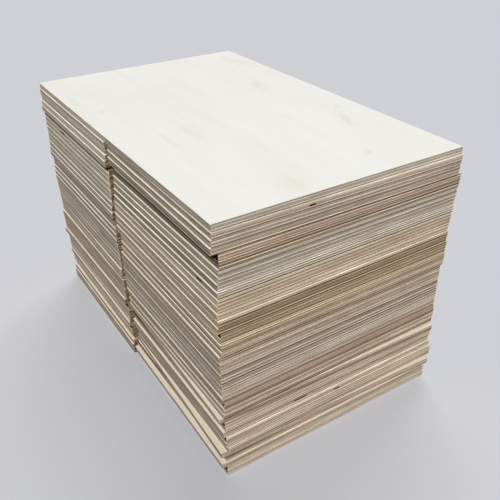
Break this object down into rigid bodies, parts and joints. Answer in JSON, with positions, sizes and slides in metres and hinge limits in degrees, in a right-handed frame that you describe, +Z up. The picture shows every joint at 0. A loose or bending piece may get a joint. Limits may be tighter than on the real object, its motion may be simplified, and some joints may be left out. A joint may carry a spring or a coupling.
{
  "type": "stack of plywood sheets",
  "caption": "Free-standing pile of thin birch plywood sheets, laid flat in adjoining columns, with unevenly squared edges.",
  "frame": {"origin": "on the floor, in the middle of the pile's box", "axes": "+X across a sheet, +Y along the pile from the near column to the far one, +Z up"},
  "size_m": [0.2624, 0.426, 0.2688],
  "materials": {
    "sheets": "raw sanded birch plywood with sawn edges"
  },
  "bodies": {
    "root": {"layer_01": "sheets", "layer_02": "sheets", "layer_03": "sheets", "layer_04": "sheets", "layer_05": "sheets", "layer_06": "sheets", "layer_07": "sheets", "layer_08": "sheets", "layer_09": "sheets", "layer_10": "sheets", "layer_11": "sheets", "layer_12": "sheets", "layer_13": "sheets", "layer_14": "sheets", "layer_15": "sheets", "layer_16": "sheets", "layer_17": "sheets", "layer_18": "sheets", "layer_19": "sheets", "layer_20": "sheets", "layer_21": "sheets", "layer_22": "sheets", "layer_23": "sheets", "layer_24": "sheets", "layer_25": "sheets", "layer_26": "sheets", "layer_27": "sheets", "layer_28": "sheets", "layer_29": "sheets", "layer_30": "sheets", "layer_31": "sheets", "layer_32": "sheets", "layer_33": "sheets", "layer_34": "sheets", "layer_35": "sheets", "layer_36": "sheets", "layer_37": "sheets", "layer_38": "sheets", "layer_39": "sheets", "layer_40": "sheets", "layer_41": "sheets", "layer_42": "sheets"}
  },
  "joints": []
}
